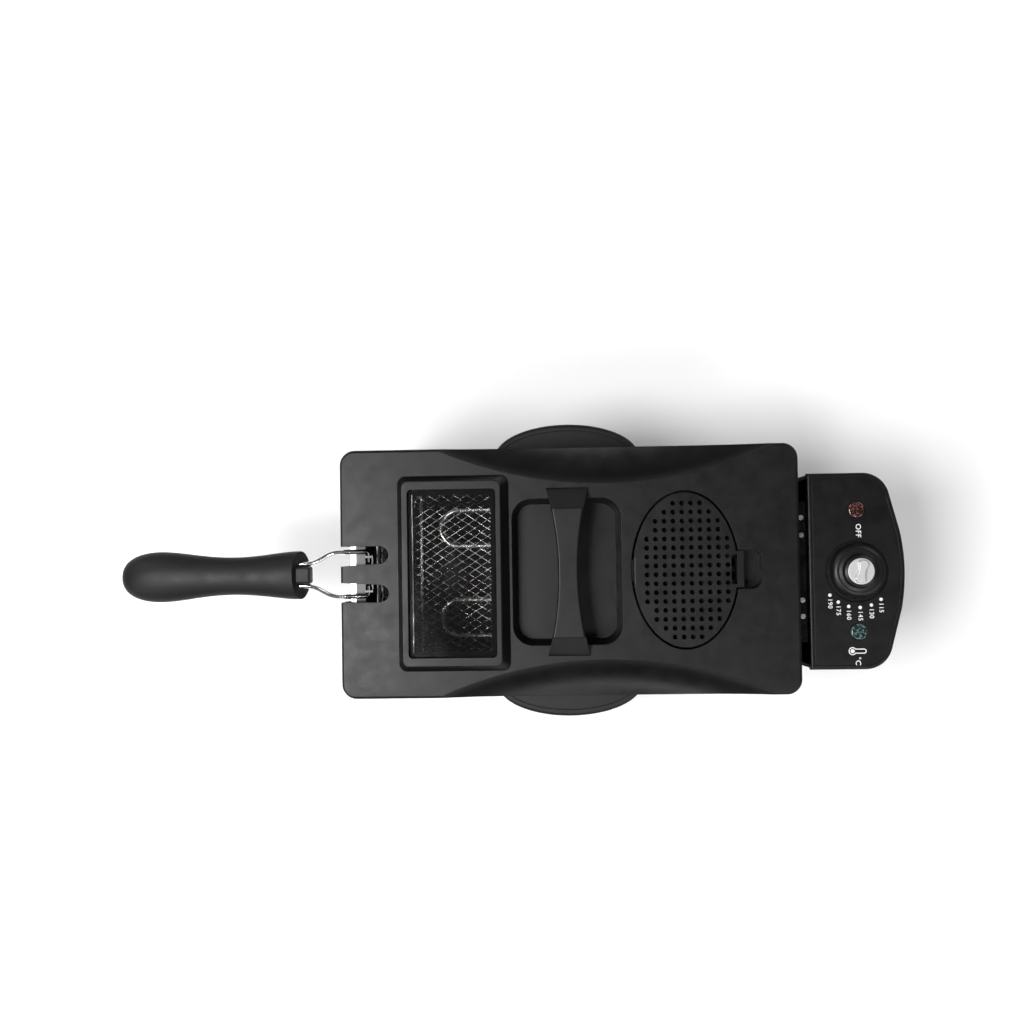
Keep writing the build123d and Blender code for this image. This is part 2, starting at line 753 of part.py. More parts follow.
# ---- Knob
skirt_radius = 20.5
knob_low_z = panel_top_z - 1.2
with BuildPart(body_plane) as knob:
    with BuildSketch(lengthwise(unit_y)):
        with BuildLine():
            Polyline(
                (knob_x, knob_low_z),
                (knob_x + skirt_radius, knob_low_z),
                (knob_x + skirt_radius, knob_low_z + 3.0),
            )
            ThreePointArc(
                (knob_x + skirt_radius, knob_low_z + 3.0),
                (knob_x + skirt_radius - 1.6, knob_low_z + 6.6),
                (knob_x + skirt_radius - 5.6, knob_low_z + 8.0),
            )
            Polyline(
                (knob_x + skirt_radius - 5.6, knob_low_z + 8.0),
                (knob_x + 12.6, knob_low_z + 8.6),
                (knob_x + 11.75, knob_low_z + 12.6),
                (knob_x + 10.0, knob_low_z + 13.4),
                (knob_x, knob_low_z + 13.4),
                (knob_x, knob_low_z),
            )
        make_face()
    revolve(axis=upright_axis(knob_x, unit_y))
    upright_cylinder(
        9.8, knob_low_z + 11.6, knob_low_z + 14, [(knob_x, unit_y)], mode=Mode.SUBTRACT
    )
    upright_cylinder(2.6, knob_low_z, knob_low_z + 9, [(knob_x, unit_y)], mode=Mode.SUBTRACT)
knob.part.label = "knob"
export_step(knob.part, "parts/knob.step")

pointer_turn = 77.0
scoop_radius = 15.0
bar_waist = 6.0
with BuildPart(body_plane) as knob_cap:
    upright_cylinder(9.65, knob_low_z + 11.7, knob_low_z + 13.8, [(knob_x, unit_y)])
    fillet(knob_cap.faces().sort_by(Axis.Z)[-1].edges(), radius=0.6)
    with BuildSketch(level(knob_low_z + 13.8)):
        with Locations(Location((knob_x, unit_y, 0), (0, 0, pointer_turn))):
            SlotOverall(17.2, 9.2)
            with Locations((0, scoop_radius + bar_waist / 2), (0, -scoop_radius - bar_waist / 2)):
                Circle(scoop_radius, mode=Mode.SUBTRACT)
    extrude(amount=3.2, taper=8)
    fillet(knob_cap.faces().sort_by(Axis.Z)[-1].edges(), radius=0.8)
knob_cap.part.label = "knob_cap"
export_step(knob_cap.part, "parts/knob_cap.step")

with BuildPart(body_plane) as knob_shaft:
    upright_cylinder(2.55, 172, knob_low_z + 8.8, [(knob_x, unit_y)])
knob_shaft.part.label = "knob_shaft"
export_step(knob_shaft.part, "parts/knob_shaft.step")


# ==== Lid ======================================================================================
def lid_form(inset):
    """The lid's solid outer form without its openings, with each face moved in by inset."""
    with BuildPart(body_plane) as form:
        rounded_block(
            lid_length - 2 * inset, lid_width - 2 * inset, lid_corner - inset / 2,
            lid_skirt_z, lid_top_z - inset,
        )
        if inset == 0:
            fillet(form.faces().sort_by(Axis.Z)[-1].edges(), radius=2.2)
        top = lid_top_z - inset
        arc_radius = scallop_radius + inset
        for side in (1, -1):
            slope_plane = Plane(
                origin=(body_x + scallop_x, side * scallop_centre_y, 0),
                x_dir=(0, -side, 0),
                z_dir=(-side, 0, 0),
            )
            with BuildSketch(slope_plane):
                with BuildLine():
                    ThreePointArc(
                        (arc_radius, top),
                        (arc_radius - 7, top - 0.68 * scallop_drop),
                        (arc_radius - 34, top - scallop_drop),
                    )
                    Polyline(
                        (arc_radius - 34, top - scallop_drop),
                        (arc_radius - 34, top + 4),
                        (arc_radius, top + 4),
                        (arc_radius, top),
                    )
                make_face()
            revolve(axis=upright_axis(scallop_x, side * scallop_centre_y),
                    mode=Mode.SUBTRACT)
    return form.part


frame_base_x = (-125.6 - 42.7) / 2
frame_base_length = -42.7 + 125.6
frame_base_width = 144.0
frame_head_x = (-121.6 - 49.0) / 2
frame_head_length = -49.0 + 121.6
frame_head_width = 135.2
pocket_depth = 13.0
lid_cavity = lid_form(lid_wall)
with BuildPart() as lid_shell:
    add(lid_form(0))
    add(lid_cavity, mode=Mode.SUBTRACT)
    # Raised frame around the window
    with BuildSketch(level(lid_top_z - 1.0)):
        with Locations((frame_base_x, 0)):
            RectangleRounded(frame_base_length, frame_base_width, 6)
    with BuildSketch(level(frame_top_z)):
        with Locations((frame_head_x, 0)):
            RectangleRounded(frame_head_length, frame_head_width, 5)
    loft()
    fillet(lid_shell.faces().sort_by(Axis.Z)[-1].edges(), radius=1.0)
    # Pan of the handle well, then its hollow
    rounded_block(
        well_length + 2 * lid_wall - 4, well_width + 2 * lid_wall - 4, 14,
        well_floor_z - lid_wall, cavity_top_z, x=well_x,
    )
    with BuildSketch(level(lid_top_z)):
        with Locations((well_x, 0)):
            RectangleRounded(well_length, well_width, 14.5)
    extrude(amount=-(lid_top_z - well_floor_z), taper=11, mode=Mode.SUBTRACT)
    # Window opening with a ledge for the gasket
    rounded_block(
        window_length, window_width, 3, window_ledge_z, frame_top_z,
        x=window_x, mode=Mode.SUBTRACT,
    )
    rounded_block(
        window_length - 2 * window_ledge, window_width - 2 * window_ledge, 4,
        lid_top_z - 6, frame_top_z, x=window_x, mode=Mode.SUBTRACT,
    )
    # Oval opening for the filter, and the pocket beside it for a finger
    rounded_block(25.9, 2 * (14.3 + lid_wall), 9, lid_top_z - pocket_depth - lid_wall,
                  cavity_top_z, x=129.75)
    with BuildSketch(level(lid_skirt_z)):
        with Locations((oval_x, 0)):
            Ellipse(oval_half_x, oval_half_y)
    extrude(amount=lid_top_z - lid_skirt_z, mode=Mode.SUBTRACT)
    rounded_block(24.3, 28.6, 7, lid_top_z - pocket_depth, lid_top_z, x=128.15,
                  mode=Mode.SUBTRACT)
    # Two slots for the basket handle's wires, open at the front edge
    for side in (1, -1):
        with BuildSketch(level(lid_skirt_z)):
            with BuildLine():
                Polyline(
                    (-lid_length / 2 - 2, side * 5.9),
                    (slot_end_x - slot_radius, side * (slot_outer_y - 2 * slot_radius)),
                    (slot_end_x - slot_radius, side * slot_outer_y),
                    (-lid_length / 2 - 2, side * slot_outer_y),
                    (-lid_length / 2 - 2, side * 5.9),
                )
            make_face()
            with Locations((slot_end_x - slot_radius, side * (slot_outer_y - slot_radius))):
                Circle(slot_radius)
        extrude(amount=lid_top_z - lid_skirt_z + 1, mode=Mode.SUBTRACT)
    # Notch in the rear skirt over the control unit's neck
    with Locations(level(lid_skirt_z)):
        with Locations((lid_length / 2 - 2, unit_y)):
            Box(12, 2 * neck_half + 3, 2 * (neck_top_z + 1.9 - lid_skirt_z), mode=Mode.SUBTRACT)
lid_shell.part.label = "lid_shell"
export_step(lid_shell.part, "parts/lid_shell.step")

pane_gap = 0.4
with BuildPart(body_plane) as window_gasket:
    rounded_block(
        window_length - 2 * pane_gap, window_width - 2 * pane_gap, 2.6,
        window_ledge_z + 0.05, window_ledge_z + 1.45, x=window_x,
    )
    rounded_block(
        window_length - 2 * window_ledge, window_width - 2 * window_ledge, 3,
        window_ledge_z, window_ledge_z + 1.5, x=window_x, mode=Mode.SUBTRACT,
    )
window_gasket.part.label = "window_gasket"
export_step(window_gasket.part, "parts/window_gasket.step")

with BuildPart(body_plane) as window_pane:
    rounded_block(
        window_length - 2 * pane_gap, window_width - 2 * pane_gap, 2.6,
        window_ledge_z + 1.5, window_ledge_z + 4.5, x=window_x,
    )
    chamfer(window_pane.faces().sort_by(Axis.Z)[-1].edges(), length=0.5)
window_pane.part.label = "window_pane"
export_step(window_pane.part, "parts/window_pane.step")

# ---- Bridge handle across the well
bridge_half = 61.5
bridge_end_half = 15.5
bridge_waist_half = 7.25
bridge_top_z = 221.0
bridge_under_z = 212.0
with BuildPart(body_plane) as lid_handle:
    with BuildSketch(upright(-0.5)):
        with BuildLine():
            Polyline(
                (-bridge_half, lid_top_z + 0.1),
                (-47.0, bridge_top_z),
                (46.0, bridge_top_z),
                (bridge_half, lid_top_z + 0.1),
                (54.0, lid_top_z + 0.1),
                (45.0, bridge_under_z),
                (-45.0, bridge_under_z),
                (-54.0, lid_top_z + 0.1),
                (-bridge_half, lid_top_z + 0.1),
            )
        make_face()
    extrude(amount=bridge_end_half, both=True)
    with BuildSketch(level(lid_top_z)):
        with BuildLine():
            ThreePointArc(
                (bridge_end_half - 0.5, -bridge_half),
                (bridge_waist_half - 0.5, 0),
                (bridge_end_half - 0.5, bridge_half),
            )
            Line((bridge_end_half - 0.5, bridge_half), (-bridge_end_half - 0.5, bridge_half))
            ThreePointArc(
                (-bridge_end_half - 0.5, bridge_half),
                (-bridge_waist_half - 0.5, 0),
                (-bridge_end_half - 0.5, -bridge_half),
            )
            Line((-bridge_end_half - 0.5, -bridge_half), (bridge_end_half - 0.5, -bridge_half))
        make_face()
    extrude(amount=30, mode=Mode.INTERSECT)
    fillet(lid_handle.faces().sort_by(Axis.Z)[-1].edges(), radius=1.4)
lid_handle.part.label = "lid_handle"
export_step(lid_handle.part, "parts/lid_handle.step")

with BuildPart(body_plane) as handle_screws:
    handle_screw_places = [(-0.5, 57.9), (-0.5, -57.9)]
    upright_cylinder(3.0, cavity_top_z - 2.2, cavity_top_z - 0.1, handle_screw_places)
    with BuildSketch(level(cavity_top_z - 2.2)):
        with Locations(*handle_screw_places):
            Rectangle(4.2, 0.9)
            Rectangle(0.9, 4.2)
    extrude(amount=0.9, mode=Mode.SUBTRACT)
handle_screws.part.label = "handle_screws"
export_step(handle_screws.part, "parts/handle_screws.step")

# ---- Filter under the oval opening
holder_floor_z = 188.0
hole_pitch = 6.5
hole_radius = 1.75
cover_x = 86.4
cover_thickness = 3.0
nose_radius = cover_thickness / 2
nose_x = 48.6
nose_z = lid_top_z - nose_radius
nose_length = 20.0
seat_clearance = 0.06


def hole_field(reach_x, reach_y, radius, pitch, centre_x):
    """Cut round holes on a square grid, kept inside an oval, from the sketch being built."""
    rows = 2 * int(reach_y / pitch)
    for row in range(rows):
        y = (row - (rows - 1) / 2) * pitch
        per_side = floor(reach_x * sqrt(1 - (y / reach_y) ** 2) / pitch + 0.5)
        with Locations((centre_x, y)):
            with GridLocations(pitch, 0, 2 * per_side, 1):
                Circle(radius, mode=Mode.SUBTRACT)


with BuildPart(body_plane) as filter_holder:
    with BuildSketch(level(holder_floor_z)):
        with Locations((oval_x, 0)):
            Ellipse(oval_half_x + 1.8, oval_half_y + 1.8)
        hole_field(36.0, 54.0, 3.4, 10.0, oval_x)
    extrude(amount=1.6)
    with BuildSketch(level(holder_floor_z + 1.6)):
        with Locations((oval_x, 0)):
            Ellipse(oval_half_x + 1.8, oval_half_y + 1.8)
            Ellipse(oval_half_x, oval_half_y, mode=Mode.SUBTRACT)
    extrude(amount=cavity_top_z - 1.7 - holder_floor_z)
    rounded_block(30, 36, 8, lid_top_z - pocket_depth - lid_wall - 0.4, cavity_top_z,
                  x=131.0, mode=Mode.SUBTRACT)
    with Locations((nose_x - 2.1, 0, 200.2)):
        Box(3.9, nose_length - 4, 4.6)
    with Locations((nose_x, 0, nose_z)):
        Cylinder(
            nose_radius + seat_clearance, nose_length, rotation=(90, 0, 0), mode=Mode.SUBTRACT
        )
filter_holder.part.label = "filter_holder"
export_step(filter_holder.part, "parts/filter_holder.step")

with BuildPart(body_plane) as filter_pad:
    with BuildSketch(level(holder_floor_z + 1.9)):
        with Locations((oval_x, 0)):
            Ellipse(oval_half_x - 1.2, oval_half_y - 1.2)
        with Locations((131.0, 0)):
            Rectangle(30, 38, mode=Mode.SUBTRACT)
    extrude(amount=8.0)
filter_pad.part.label = "filter_pad"
export_step(filter_pad.part, "parts/filter_pad.step")

cover_gap = 1.6
cover_low_z = lid_top_z - cover_thickness
tab_half = 13.2
tab_end_x = 127.3
with BuildPart(body_plane) as filter_cover:
    with BuildSketch(level(cover_low_z)):
        with Locations((oval_x, 0)):
            Ellipse(oval_half_x - cover_gap, oval_half_y - cover_gap)
        with Locations(((tab_end_x + 114) / 2, 0)):
            Rectangle(tab_end_x - 114, 2 * tab_half)
        with Locations((120.4, 0)):
            Rectangle(4.0, 2 * tab_half - 5, mode=Mode.SUBTRACT)
        hole_field(33.5, 53.0, hole_radius, hole_pitch, cover_x)
    extrude(amount=cover_thickness)
    with Locations((nose_x - 2, 0, nose_z)):
        Box(4, nose_length, 2 * cover_thickness, mode=Mode.SUBTRACT)
    with Locations((nose_x, 0, nose_z)):
        Cylinder(nose_radius, nose_length - 0.4, rotation=(90, 0, 0))
filter_cover.part.label = "filter_cover"
export_step(filter_cover.part, "parts/filter_cover.step")

# ==== Overall size =============================================================================
overall_length = panel_rear_x - grip_inner_x + grip_length
overall_width = 2 * (wall_y + grip_reach)
print("length", overall_length, "width", overall_width, "height", bridge_top_z)
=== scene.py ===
"""Looks of the deep fryer: camera, light, materials, and the pieces that are finer than the CAD model.

Metres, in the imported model's frame: +X to the rear, where the control unit hangs, and +Z up.
"""
import json
import math
import random

import bpy
from mathutils import Euler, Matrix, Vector


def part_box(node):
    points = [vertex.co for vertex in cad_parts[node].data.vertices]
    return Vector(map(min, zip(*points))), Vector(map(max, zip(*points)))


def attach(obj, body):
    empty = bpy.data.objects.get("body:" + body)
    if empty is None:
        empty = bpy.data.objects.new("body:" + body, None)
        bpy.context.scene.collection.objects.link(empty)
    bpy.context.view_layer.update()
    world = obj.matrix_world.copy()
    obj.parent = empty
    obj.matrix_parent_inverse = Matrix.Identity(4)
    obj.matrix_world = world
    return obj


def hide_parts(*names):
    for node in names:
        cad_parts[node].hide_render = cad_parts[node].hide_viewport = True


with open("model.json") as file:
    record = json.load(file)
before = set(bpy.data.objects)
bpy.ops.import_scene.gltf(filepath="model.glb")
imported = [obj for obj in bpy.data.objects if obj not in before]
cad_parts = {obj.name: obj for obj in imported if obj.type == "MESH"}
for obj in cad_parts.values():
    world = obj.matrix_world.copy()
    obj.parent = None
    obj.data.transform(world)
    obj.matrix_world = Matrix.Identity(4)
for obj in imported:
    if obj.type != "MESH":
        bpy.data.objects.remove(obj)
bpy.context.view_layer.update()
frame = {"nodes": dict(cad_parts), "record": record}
nodes = frame["nodes"]
MM = 0.001
rng = random.Random(7)

housing_low, housing_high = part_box("housing_shell")
knob_low, knob_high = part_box("knob")
basket_low, basket_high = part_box("basket_mesh")
body_x = (housing_low.x + housing_high.x) / 2
knob_x = (knob_low.x + knob_high.x) / 2
knob_y = (knob_low.y + knob_high.y) / 2
panel_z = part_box("control_panel")[1].z


# ---- Camera, floor and light --------------------------------------------------------------------
LENS = 43.32
SENSOR_WIDTH = 36.0
CLIP_START = 0.01
CAMERA_PLACE = (body_x - 0.0057, 0.01995, 1.1076)
CAMERA_DEGREES = (1.504, 2.257, -0.889)
FLOOR_HALF = 3.0
FLOOR_DROP = 0.4 * MM
FLOOR_COLOUR = (0.93, 0.93, 0.93, 1)
FLOOR_ROUGHNESS = 0.9
WORLD_STRENGTH = 0.08
# Each lamp's name, place, the point it faces, its side and its power in watts.
LAMPS = (
    ("key", (-0.72, -0.16, 1.95), (-0.05, 0, 0.2), 0.7, 36),
    ("low_key", (0.42, -0.85, 1.8), (0.1, 0, 0.2), 0.45, 8),
    ("left_far", (-1.7, 1.5, 1.5), (0, 0, 0.1), 1.3, 13),
    ("left_near", (-1.7, -1.5, 1.5), (0, 0, 0.1), 1.3, 13),
    ("right_far", (1.7, 1.5, 1.5), (0, 0, 0.1), 1.3, 13),
    ("right_near", (1.7, -1.5, 1.5), (0, 0, 0.1), 1.3, 13),
)


def make_camera():
    """A camera almost straight above the lid, about 0.9 m from it."""
    data = bpy.data.cameras.new("camera")
    data.lens = LENS
    data.sensor_width = SENSOR_WIDTH
    data.clip_start = CLIP_START
    camera = bpy.data.objects.new("camera", data)
    camera.location = CAMERA_PLACE
    camera.rotation_euler = Euler(tuple(math.radians(a) for a in CAMERA_DEGREES))
    bpy.context.scene.collection.objects.link(camera)
    bpy.context.scene.camera = camera


def area_light(name, place, aim, size, power):
    """A soft square lamp at place that points at aim."""
    data = bpy.data.lights.new(name, "AREA")
    data.size = size
    data.energy = power
    lamp = bpy.data.objects.new(name, data)
    lamp.location = place
    direction = Vector(aim) - Vector(place)
    lamp.rotation_euler = direction.to_track_quat("-Z", "Y").to_euler()
    bpy.context.scene.collection.objects.link(lamp)


def make_studio():
    """Pale floor, four soft lamps around the object, and two smaller ones for the sheen."""
    half = FLOOR_HALF
    mesh = bpy.data.meshes.new("floor")
    mesh.from_pydata(
        [(-half, -half, 0), (half, -half, 0), (half, half, 0), (-half, half, 0)], [], [(0, 1, 2, 3)]
    )
    floor = bpy.data.objects.new("floor", mesh)
    floor.location.z = -FLOOR_DROP
    bpy.context.scene.collection.objects.link(floor)
    paint = bpy.data.materials.new("floor_paint")
    paint.use_nodes = True
    shader = paint.node_tree.nodes["Principled BSDF"]
    shader.inputs["Base Color"].default_value = FLOOR_COLOUR
    shader.inputs["Roughness"].default_value = FLOOR_ROUGHNESS
    mesh.materials.append(paint)

    world = bpy.data.worlds.new("studio")
    world.use_nodes = True
    background = world.node_tree.nodes["Background"]
    background.inputs["Color"].default_value = (1, 1, 1, 1)
    background.inputs["Strength"].default_value = WORLD_STRENGTH
    bpy.context.scene.world = world

    for lamp in LAMPS:
        area_light(*lamp)
    bpy.context.scene.view_settings.view_transform = "Standard"
    bpy.context.scene.view_settings.look = "None"


# ---- Materials ----------------------------------------------------------------------------------
# Sizes of grain, specks and smears are in metres, as are bump depths.
DUST_SIZE = 4.2 * MM
DUST_COLOUR = (0.07, 0.07, 0.068)
HAIRLINE_SIZE = 1.6 * MM
HAIRLINE_COLOUR = (0.06, 0.06, 0.06)
FLECK_COLOUR = (0.42, 0.42, 0.43)
# Colour of the painted shade on the wires inside the lid's slots, and half the width of its fade.
SHADED_WIRE = (0.04, 0.038, 0.035)
SHADE_HALF = 3 * MM
CAP_RINGS_PER_METRE = 3500
SLOT_MIDDLE_X = body_x - 0.153


class Paint:
    """One node material under construction, with short calls for the nodes it needs.

    edge is the radius, in metres, to which sharp edges look rounded.
    """

    def __init__(self, name, edge=0.0):
        self.edge = edge
        self.material = bpy.data.materials.new(name)
        self.material.use_nodes = True
        self.tree = self.material.node_tree
        self.shader = self.tree.nodes["Principled BSDF"]
        coords = self.node("ShaderNodeTexCoord")
        self.place = coords.outputs["Object"]

    def node(self, kind, **settings):
        """A new node with the given settings."""
        made = self.tree.nodes.new(kind)
        for key, value in settings.items():
            setattr(made, key, value)
        return made

    def link(self, source, target):
        """Join an output to an input."""
        self.tree.links.new(source, target)

    def set(self, **values):
        """Set sockets of the shader, with underscores for the spaces in their names."""
        for key, value in values.items():
            self.shader.inputs[key.replace("_", " ")].default_value = value

    def stretched(self, scale, turn=(0, 0, 0)):
        """Object coordinates, turned and scaled."""
        mapping = self.node("ShaderNodeMapping")
        mapping.inputs["Scale"].default_value = scale
        mapping.inputs["Rotation"].default_value = turn
        self.link(self.place, mapping.inputs["Vector"])
        return mapping.outputs["Vector"]

    def noise(self, size, detail=3.0, roughness=0.55, scale=(1, 1, 1), turn=(0, 0, 0), distort=0.0):
        """Noise whose features are about size metres across."""
        texture = self.node("ShaderNodeTexNoise")
        texture.inputs["Scale"].default_value = 1.0 / size
        texture.inputs["Detail"].default_value = detail
        texture.inputs["Roughness"].default_value = roughness
        texture.inputs["Distortion"].default_value = distort
        self.link(self.stretched(scale, turn), texture.inputs["Vector"])
        return texture.outputs["Fac"]

    def cells(self, size):
        """Distance to the nearest of a scatter of points about size metres apart."""
        texture = self.node("ShaderNodeTexVoronoi")
        texture.inputs["Scale"].default_value = 1.0 / size
        self.link(self.place, texture.inputs["Vector"])
        return texture.outputs["Distance"]

    def span(self, value, low, high, out_low=0.0, out_high=1.0):
        """Map value from low..high to out_low..out_high, clamped."""
        made = self.node("ShaderNodeMapRange")
        made.inputs["From Min"].default_value = low
        made.inputs["From Max"].default_value = high
        made.inputs["To Min"].default_value = out_low
        made.inputs["To Max"].default_value = out_high
        self.link(value, made.inputs["Value"])
        return made.outputs["Result"]

    def math(self, operation, first, second):
        """Join two values, or a value and a number."""
        made = self.node("ShaderNodeMath", operation=operation)
        self.link(first, made.inputs[0])
        if isinstance(second, (int, float)):
            made.inputs[1].default_value = second
        else:
            self.link(second, made.inputs[1])
        return made.outputs["Value"]

    def blend(self, factor, first, second):
        """Colour between first and second, each a colour or an output."""
        made = self.node("ShaderNodeMix", data_type="RGBA")
        self.link(factor, made.inputs["Factor"])
        for socket, value in ((made.inputs[6], first), (made.inputs[7], second)):
            if isinstance(value, tuple):
                socket.default_value = (*value, 1.0)
            else:
                self.link(value, socket)
        return made.outputs[2]

    def colour(self, output):
        """Use output as the base colour."""
        self.link(output, self.shader.inputs["Base Color"])

    def rough(self, output):
        """Use output as the roughness."""
        self.link(output, self.shader.inputs["Roughness"])

    def bump(self, height, depth, strength=1.0):
        """Raise the surface by height times depth metres, on top of any earlier bump."""
        if not self.shader.inputs["Normal"].links and self.edge:
            worn = self.node("ShaderNodeBevel", samples=4)
            worn.inputs["Radius"].default_value = self.edge
            self.link(worn.outputs["Normal"], self.shader.inputs["Normal"])
        made = self.node("ShaderNodeBump")
        made.inputs["Distance"].default_value = depth
        made.inputs["Strength"].default_value = strength
        self.link(height, made.inputs["Height"])
        earlier = self.shader.inputs["Normal"].links
        if earlier:
            self.link(earlier[0].from_socket, made.inputs["Normal"])
        self.link(made.outputs["Normal"], self.shader.inputs["Normal"])


def moulded_plastic(
    name, colour, roughness, grain=0.0010, depth=0.00007, dust=0.5, scratches=0.5, gloss=0.27
):
    """Spark-eroded black plastic: fine grain, uneven sheen, dust specks and faint hairlines."""
    paint = Paint(name, edge=0.0006)
    broad = paint.noise(0.05, detail=2)
    fine = paint.noise(grain, detail=2, roughness=0.6)
    lighter = tuple(min(1.0, c * 1.5 + 0.001) for c in colour)
    base = paint.blend(paint.span(broad, 0.3, 0.75), colour, lighter)
    specks = paint.span(paint.cells(DUST_SIZE), 0.03, 0.075, 1.0, 0.0)
    where = paint.span(paint.noise(0.02, detail=1), 0.5, 0.66)
    speck_amount = paint.math("MULTIPLY", paint.math("MULTIPLY", specks, where), dust)
    base = paint.blend(speck_amount, base, DUST_COLOUR)
    hair = paint.noise(HAIRLINE_SIZE, detail=1, scale=(1, 0.035, 1), turn=(0, 0, 0.5), distort=0.25)
    hair_line = paint.span(paint.math("ABSOLUTE", paint.math("SUBTRACT", hair, 0.5), 0), 0.0, 0.004, 1, 0)
    hair_where = paint.span(paint.noise(0.03, detail=1, scale=(1, 0.5, 1)), 0.58, 0.7)
    hair_amount = paint.math("MULTIPLY", paint.math("MULTIPLY", hair_line, hair_where), scratches)
    paint.colour(paint.blend(hair_amount, base, HAIRLINE_COLOUR))
    sheen = paint.span(paint.noise(0.012, detail=4), 0.3, 0.7, roughness - 0.05, roughness + 0.06)
    paint.rough(paint.math("SUBTRACT", sheen, paint.math("MULTIPLY", hair_amount, 0.1)))
    paint.bump(fine, depth)
    paint.bump(hair_line, -0.00001, 0.3)
    paint.set(Specular_IOR_Level=gloss)
    return paint.material


def recess_shade_plastic(name):
    """Smooth black plastic, darker than the panel's, where the control unit hooks over the rim: painted
    shade for the dark gap between the lid and the control unit.
    """
    paint = Paint(name, edge=0.0004)
    cloud = paint.noise(0.008, detail=4)
    paint.colour(paint.blend(paint.span(cloud, 0.35, 0.7), (0.0012, 0.0012, 0.0012), (0.003, 0.003, 0.003)))
    paint.rough(paint.span(cloud, 0.3, 0.7, 0.22, 0.34))
    paint.bump(paint.noise(0.0008, detail=2), 0.00001)
    paint.set(Specular_IOR_Level=0.2)
    return paint.material


def brushed_steel(name, colour, roughness):
    """Sheet steel brushed along its length, with slight smears."""
    paint = Paint(name, edge=0.0003)
    lines = paint.noise(0.0009, detail=4, roughness=0.7, scale=(0.02, 1, 1))
    smear = paint.noise(0.04, detail=3)
    darker = tuple(c * 0.86 for c in colour)
    paint.colour(paint.blend(paint.span(lines, 0.3, 0.7), darker, colour))
    paint.rough(paint.span(smear, 0.3, 0.75, roughness - 0.05, roughness + 0.1))
    paint.bump(lines, 0.00001)
    paint.set(Metallic=1.0)
    return paint.material


def bright_wire(name, colour, roughness, stain=0.15, painted_shade_from=None):
    """Plated or tinned wire, slightly cloudy; beyond the given x, inside the lid's slots, it is painted dark
    as painted shade.
    """
    paint = Paint(name)
    cloud = paint.noise(0.004, detail=4)
    dull = tuple(c * (1 - stain) for c in colour)
    finish = paint.blend(paint.span(cloud, 0.35, 0.7), colour, dull)
    if painted_shade_from is not None:
        axes = paint.node("ShaderNodeSeparateXYZ")
        paint.link(paint.place, axes.inputs[0])
        inside = paint.span(axes.outputs["X"], painted_shade_from - SHADE_HALF, painted_shade_from + SHADE_HALF)
        # Painted shade: the wire turns dark inside the lid's slots.
        finish = paint.blend(inside, finish, SHADED_WIRE)
    paint.colour(finish)
    paint.rough(paint.span(cloud, 0.3, 0.7, roughness * 0.7, roughness * 1.4))
    paint.bump(paint.noise(0.0008, detail=2), 0.000006)
    paint.set(Metallic=1.0)
    return paint.material


def soft_rubber(name, colour, roughness=0.75, gloss=0.3):
    """Matt rubber with a fine bloom."""
    paint = Paint(name)
    bloom = paint.noise(0.006, detail=5)
    paint.colour(paint.blend(paint.span(bloom, 0.35, 0.75), colour, tuple(c * 1.6 + 0.0005 for c in colour)))
    paint.rough(paint.span(bloom, 0.3, 0.7, roughness - 0.1, roughness + 0.1))
    paint.bump(paint.noise(0.0007, detail=2), 0.00003)
    paint.set(Specular_IOR_Level=gloss)
    return paint.material


def clear_window(name):
    """Clear moulded window: it lets the view and the light through and reflects a little."""
    paint = Paint(name)
    smear = paint.noise(0.03, detail=4, scale=(1, 0.3, 1))
    paint.rough(paint.span(smear, 0.35, 0.7, 0.02, 0.1))
    paint.set(Base_Color=(0.95, 0.97, 0.97, 1), Metallic=1.0, Alpha=0.045)
    paint.bump(paint.noise(0.012, detail=1), 0.00001)
    return paint.material


def painted_edge_glint(name):
    """Silver strip on the window's edge, a painted highlight for the edge's glint; bright where it faces a
    lamp.
    """
    paint = Paint(name)
    chips = paint.noise(0.003, detail=3, scale=(1, 0.2, 1))
    paint.colour(paint.blend(paint.span(chips, 0.4, 0.7), (0.62, 0.64, 0.65), (0.85, 0.87, 0.88)))
    paint.rough(paint.span(chips, 0.3, 0.7, 0.12, 0.3))
    paint.bump(chips, 0.00002)
    paint.set(Metallic=1.0)
    return paint.material


def enamel(name, colour):
    """Dark vitreous enamel with pale flecks."""
    paint = Paint(name)
    flecks = paint.span(paint.cells(0.0022), 0.05, 0.14, 1.0, 0.0)
    some = paint.span(paint.noise(0.004, detail=1), 0.52, 0.62)
    paint.colour(paint.blend(paint.math("MULTIPLY", flecks, some), colour, FLECK_COLOUR))
    paint.rough(paint.span(paint.noise(0.02, detail=3), 0.3, 0.7, 0.12, 0.24))
    paint.bump(paint.noise(0.006, detail=2), 0.00003)
    paint.set(Coat_Weight=0.1, Coat_Roughness=0.1, Specular_IOR_Level=0.25)
    return paint.material


def lamp_lens(name, colour, facet_shade_colour):
    """Moulded translucent lens with a faceted inside; each facet is painted lighter in its middle and darker
    at its rim, as painted highlight and shade.
    """
    paint = Paint(name)
    facets = paint.cells(0.0017)
    paint.colour(paint.blend(paint.span(facets, 0.1, 0.55), colour, facet_shade_colour))
    paint.rough(paint.span(paint.noise(0.002), 0.3, 0.7, 0.1, 0.2))
    paint.bump(facets, 0.0002, 0.5)
    paint.set(Coat_Weight=0.6, Coat_Roughness=0.06, Subsurface_Weight=0.25, Subsurface_Scale=0.002)
    paint.shader.inputs["Subsurface Radius"].default_value = (1.0, 0.6, 0.5)
    return paint.material


